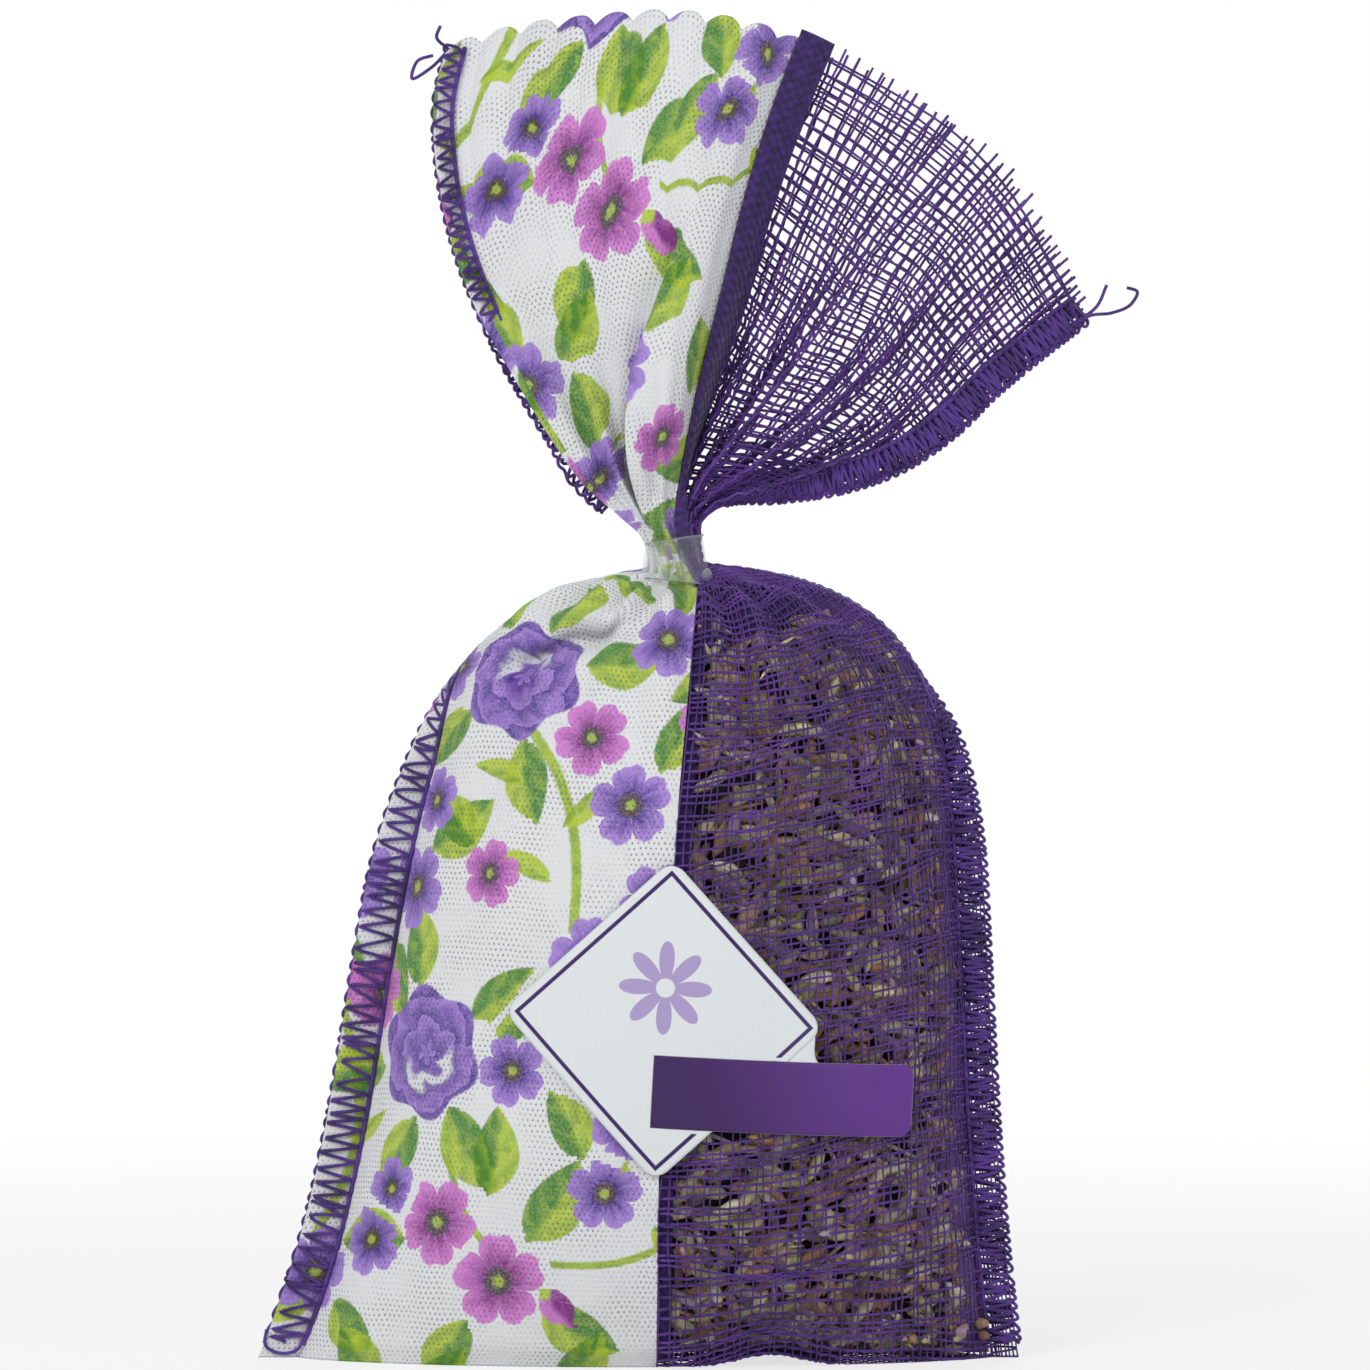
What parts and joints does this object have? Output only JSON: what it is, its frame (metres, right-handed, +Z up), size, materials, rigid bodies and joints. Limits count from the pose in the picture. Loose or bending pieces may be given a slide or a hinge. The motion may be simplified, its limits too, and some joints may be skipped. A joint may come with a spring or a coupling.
{
  "type": "lavender sachet",
  "caption": "Filled scent bag, half printed cotton and half open gauze, closed at its neck by a clear band under a flat ruffle, with a paper label on its front.",
  "frame": {"origin": "on the floor, on the flat base of the bag, under its middle", "axes": "+Z up along the bag towards its neck, +X to the right seen from the front, -Y out of the front with the label"},
  "size_m": [0.0891, 0.0337, 0.1426],
  "materials": {
    "cotton": "plain-woven white cotton with a printed flower pattern",
    "gauze": "open purple gauze",
    "thread": "purple overlock thread, slightly shiny",
    "lavender": "dried lavender buds",
    "label": "satin printed paper",
    "clear_band": "clear plastic"
  },
  "bodies": {
    "bag": {"floral_bag_cloth": "cotton", "gauze_bag_cloth": "gauze", "bag_centre_seam": "thread", "left_bag_overlock": "thread", "right_bag_overlock": "thread", "lavender_fill": "lavender", "paper_label": "label"},
    "neck": {"neck_gather": "cotton", "closure_band": "clear_band"},
    "ruffle": {"ruffle_gather": "cotton", "floral_ruffle_front": "cotton", "floral_ruffle_back": "cotton", "gauze_ruffle_front": "gauze", "gauze_ruffle_back": "gauze", "front_ruffle_seam": "thread", "back_ruffle_seam": "thread", "left_ruffle_overlock": "thread", "right_ruffle_overlock": "thread"}
  },
  "joints": [
    {"name": "neck_sway", "type": "hinge", "parent": "bag", "child": "neck", "pos_m": [0.0036, 0, 0.0774], "axis": [0, 1, 0], "range_deg": [-12, 12], "stiffness_Nm_per_rad": 0.008},
    {"name": "ruffle_nod", "type": "hinge", "parent": "neck", "child": "ruffle", "pos_m": [0.0036, 0, 0.0902], "axis": [1, 0, 0], "range_deg": [-40, 40], "stiffness_Nm_per_rad": 0.003}
  ]
}
